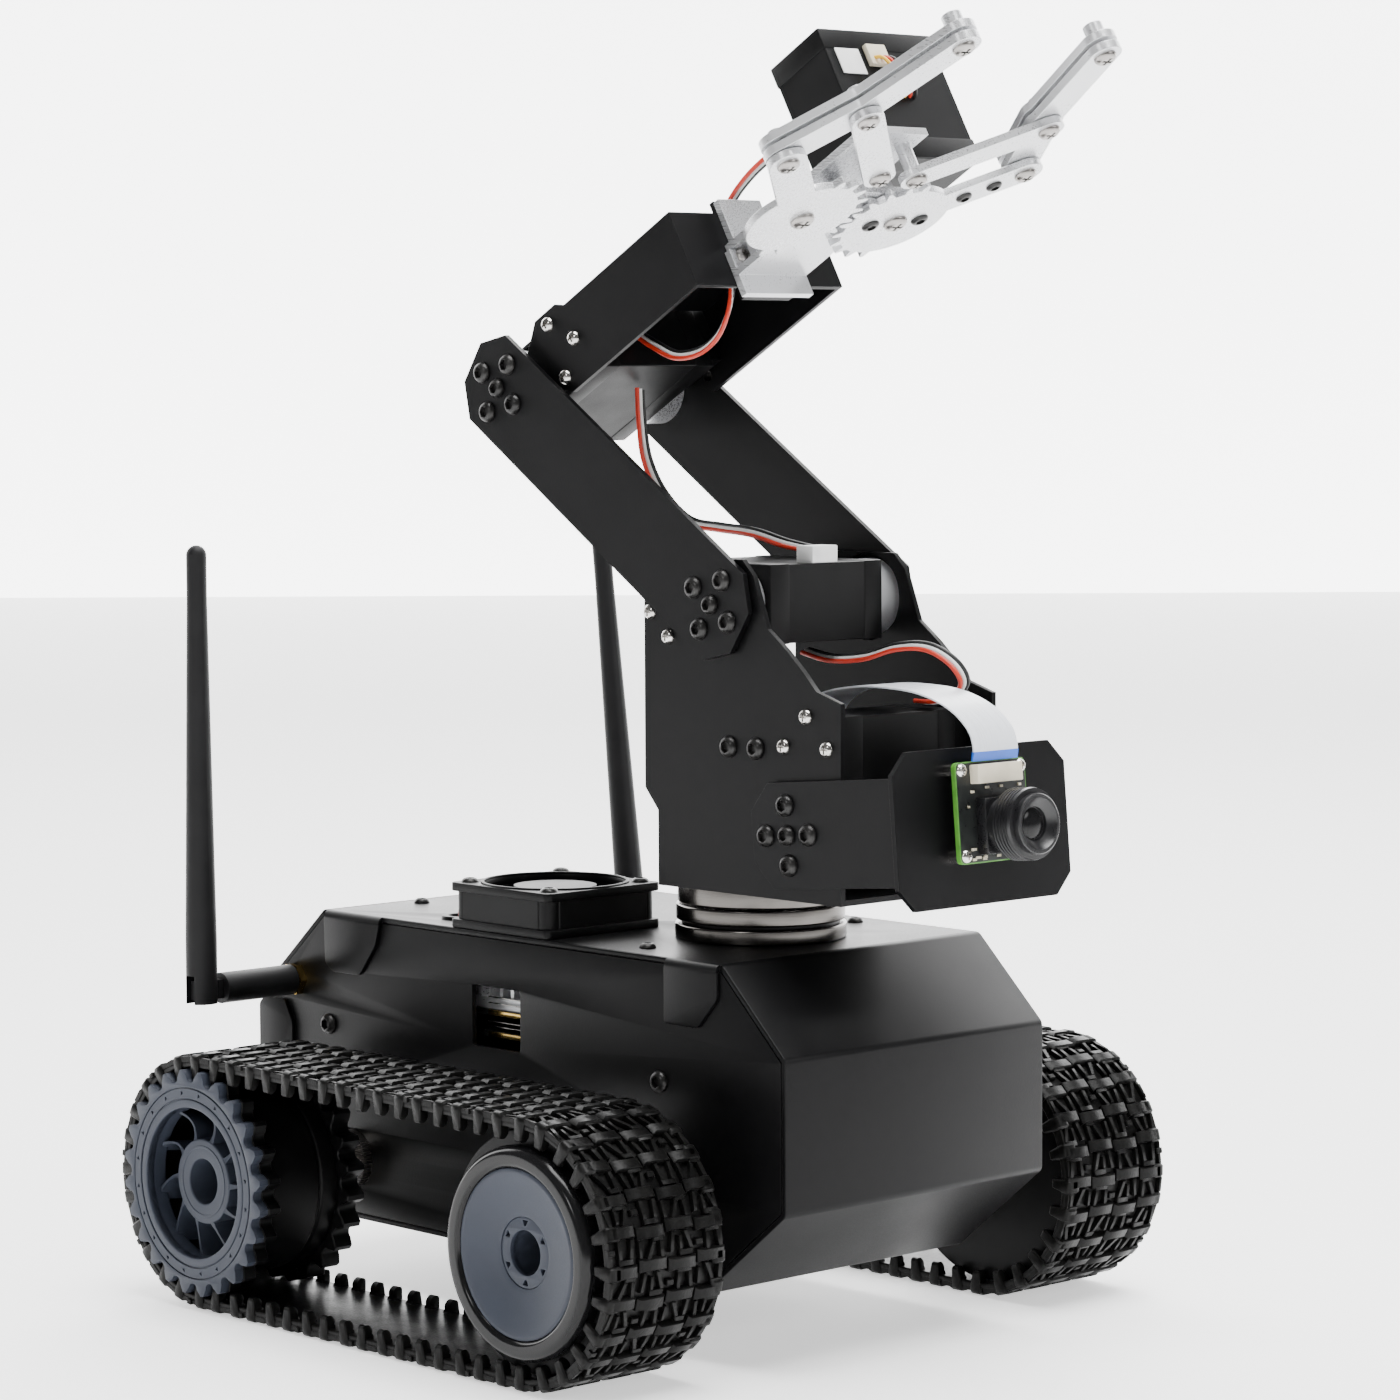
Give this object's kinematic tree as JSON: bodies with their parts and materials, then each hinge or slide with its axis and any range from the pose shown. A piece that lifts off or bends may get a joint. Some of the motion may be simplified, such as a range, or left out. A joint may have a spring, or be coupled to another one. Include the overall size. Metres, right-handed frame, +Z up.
{
  "type": "tracked robot chassis with arm",
  "caption": "Small tracked robot: sheet-metal hull on two rubber tracks, with fan, antennas, turntable, three-servo arm, parallel gripper and tilting camera.",
  "frame": {"origin": "middle of the whole robot's box, on the ground under the tracks", "axes": "+X forward, +Y to the robot's left, +Z up"},
  "size_m": [0.2554, 0.2026, 0.3354],
  "materials": {
    "black_sheet": "satin black powder coat",
    "black_screw": "black oxide",
    "steel": "turned steel",
    "aluminium": "bright satin",
    "wheel_grey": "moulded, matte",
    "tyre_black": "gloss black",
    "track_rubber": "moulded rubber",
    "black_plastic": "moulded, matte",
    "antenna_black": "soft matte",
    "gold": "gold plated",
    "board": "solder mask",
    "lens": "gloss black",
    "ribbon": "white film",
    "wire": "insulated wire",
    "cell": "shrink sleeve",
    "rocker_red": "moulded"
  },
  "bodies": {
    "hull": {"hull_tub": "black_sheet", "deck_plate": "black_sheet", "front_cover": "black_sheet", "rear_cover": "black_sheet", "hull_screws": "black_screw", "fan_frame": "black_plastic", "fan_lead": "wire", "antenna_sockets": "gold", "computer_stack": "board", "heat_sink": "aluminium", "battery_pack": "cell", "drive_motors": "steel", "idler_axle": "steel", "idler_bearings": "steel", "pan_servo": "black_plastic", "power_switch": "black_plastic", "charge_jack": "black_plastic", "turntable_base": "steel", "right_track": "track_rubber", "left_track": "track_rubber"},
    "fan": {"fan_rotor": "black_plastic"},
    "rocker": {"power_rocker": "rocker_red"},
    "right_drive": {"right_sprocket": "wheel_grey", "right_drive_shaft": "steel"},
    "left_drive": {"left_sprocket": "wheel_grey", "left_drive_shaft": "steel"},
    "right_front_wheel": {"right_idler": "wheel_grey", "right_idler_tyre": "tyre_black"},
    "left_front_wheel": {"left_idler": "wheel_grey", "left_idler_tyre": "tyre_black"},
    "right_antenna_base": {"right_antenna_knuckle": "antenna_black"},
    "left_antenna_base": {"left_antenna_knuckle": "antenna_black"},
    "right_whip": {"right_antenna": "antenna_black"},
    "left_whip": {"left_antenna": "antenna_black"},
    "arm_base": {"turntable_top": "steel", "base_frame": "black_sheet", "base_screws": "black_screw", "shoulder_servo": "black_plastic", "tilt_servo": "black_plastic", "camera_ribbon": "ribbon", "servo_leads": "wire"},
    "camera": {"camera_bracket": "black_sheet", "camera_horns": "aluminium", "camera_board": "board", "camera_lens": "lens"},
    "upper_arm": {"right_upper_arm": "black_sheet", "left_upper_arm": "black_sheet", "arm_horns": "aluminium", "arm_screws": "black_screw"},
    "forearm": {"forearm_frame": "black_sheet", "elbow_servo": "black_plastic", "gripper_mount": "aluminium", "gripper_servo": "black_plastic", "gripper_lead": "wire"},
    "right_crank_body": {"right_crank": "aluminium"},
    "left_crank_body": {"left_crank": "aluminium"},
    "right_link_body": {"right_link": "aluminium"},
    "left_link_body": {"left_link": "aluminium"},
    "right_finger_body": {"right_finger": "aluminium"},
    "left_finger_body": {"left_finger": "aluminium"}
  },
  "joints": [
    {"name": "fan_spin", "type": "hinge", "parent": "hull", "child": "fan", "pos_m": [-0.0247, -0.026, 0.1014], "axis": [0, 0, 1], "continuous": true},
    {"name": "power_rocker_tilt", "type": "hinge", "parent": "hull", "child": "rocker", "pos_m": [-0.1228, 0.024, 0.06], "axis": [0, 0, -1], "range_deg": [0, 10]},
    {"name": "right_sprocket_spin", "type": "hinge", "parent": "hull", "child": "right_drive", "pos_m": [-0.08595, -0.08, 0.0341], "axis": [0, 1, 0], "continuous": true},
    {"name": "right_idler_spin", "type": "hinge", "parent": "hull", "child": "right_front_wheel", "pos_m": [0.04535, -0.08, 0.0341], "axis": [0, 1, 0], "continuous": true},
    {"name": "left_sprocket_spin", "type": "hinge", "parent": "hull", "child": "left_drive", "pos_m": [-0.08595, 0.08, 0.0341], "axis": [0, 1, 0], "continuous": true},
    {"name": "left_idler_spin", "type": "hinge", "parent": "hull", "child": "left_front_wheel", "pos_m": [0.04535, 0.08, 0.0341], "axis": [0, 1, 0], "continuous": true},
    {"name": "right_antenna_swivel", "type": "hinge", "parent": "hull", "child": "right_antenna_base", "pos_m": [-0.1103, -0.06, 0.081], "axis": [0, 1, 0], "range_deg": [-80, 80]},
    {"name": "right_antenna_fold", "type": "hinge", "parent": "right_antenna_base", "child": "right_whip", "pos_m": [-0.1103, -0.079, 0.081], "axis": [1, 0, 0], "range_deg": [0, 90]},
    {"name": "left_antenna_swivel", "type": "hinge", "parent": "hull", "child": "left_antenna_base", "pos_m": [-0.1103, 0.06, 0.081], "axis": [0, 1, 0], "range_deg": [-70, 85]},
    {"name": "left_antenna_fold", "type": "hinge", "parent": "left_antenna_base", "child": "left_whip", "pos_m": [-0.1103, 0.079, 0.081], "axis": [-0.9936, 0, -0.1132], "range_deg": [0, 90]},
    {"name": "arm_pan", "type": "hinge", "parent": "hull", "child": "arm_base", "pos_m": [0.02695, 0, 0.1163], "axis": [0, 0, 1], "range_deg": [-90, 90]},
    {"name": "shoulder", "type": "hinge", "parent": "arm_base", "child": "upper_arm", "pos_m": [0.0402, 0, 0.1894], "axis": [0, 1, 0], "range_deg": [0, 90], "deforming": ["servo_leads"]},
    {"name": "elbow", "type": "hinge", "parent": "upper_arm", "child": "forearm", "pos_m": [-0.0421, 0, 0.24388], "axis": [0, -1, 0], "range_deg": [-25, 110]},
    {"name": "camera_tilt", "type": "hinge", "parent": "arm_base", "child": "camera", "pos_m": [0.0678, 0, 0.1329], "axis": [0, -1, 0], "range_deg": [-15, 17], "deforming": ["camera_ribbon"]},
    {"name": "gripper", "type": "hinge", "parent": "forearm", "child": "left_crank_body", "pos_m": [0.0595, 0.0165, 0.28666], "axis": [0.4924, 0, -0.8704], "range_deg": [-8, 36]},
    {"name": "right_crank_swing", "type": "hinge", "parent": "forearm", "child": "right_crank_body", "pos_m": [0.0595, -0.0165, 0.28666], "axis": [0.4924, 0, -0.8704], "range_deg": [-36, 8]},
    {"name": "left_link_swing", "type": "hinge", "parent": "forearm", "child": "left_link_body", "pos_m": [0.07691, 0.0065, 0.2965], "axis": [0.4924, 0, -0.8704], "range_deg": [-8, 36]},
    {"name": "right_link_swing", "type": "hinge", "parent": "forearm", "child": "right_link_body", "pos_m": [0.07691, -0.0065, 0.2965], "axis": [0.4924, 0, -0.8704], "range_deg": [-36, 8]},
    {"name": "left_finger_turn", "type": "hinge", "parent": "left_crank_body", "child": "left_finger_body", "pos_m": [0.08091, 0.04197, 0.29877], "axis": [0.4924, 0, -0.8704], "range_deg": [-36, 8]},
    {"name": "right_finger_turn", "type": "hinge", "parent": "right_crank_body", "child": "right_finger_body", "pos_m": [0.08091, -0.04197, 0.29877], "axis": [0.4924, 0, -0.8704], "range_deg": [-8, 36]}
  ],
  "couplings": [
    {"joint": "right_idler_spin", "follows": "right_sprocket_spin", "ratio": 1},
    {"joint": "left_idler_spin", "follows": "left_sprocket_spin", "ratio": 1},
    {"joint": "right_crank_swing", "follows": "gripper", "ratio": -1},
    {"joint": "left_link_swing", "follows": "gripper", "ratio": 1},
    {"joint": "right_link_swing", "follows": "gripper", "ratio": -1},
    {"joint": "left_finger_turn", "follows": "gripper", "ratio": -1},
    {"joint": "right_finger_turn", "follows": "gripper", "ratio": 1}
  ]
}
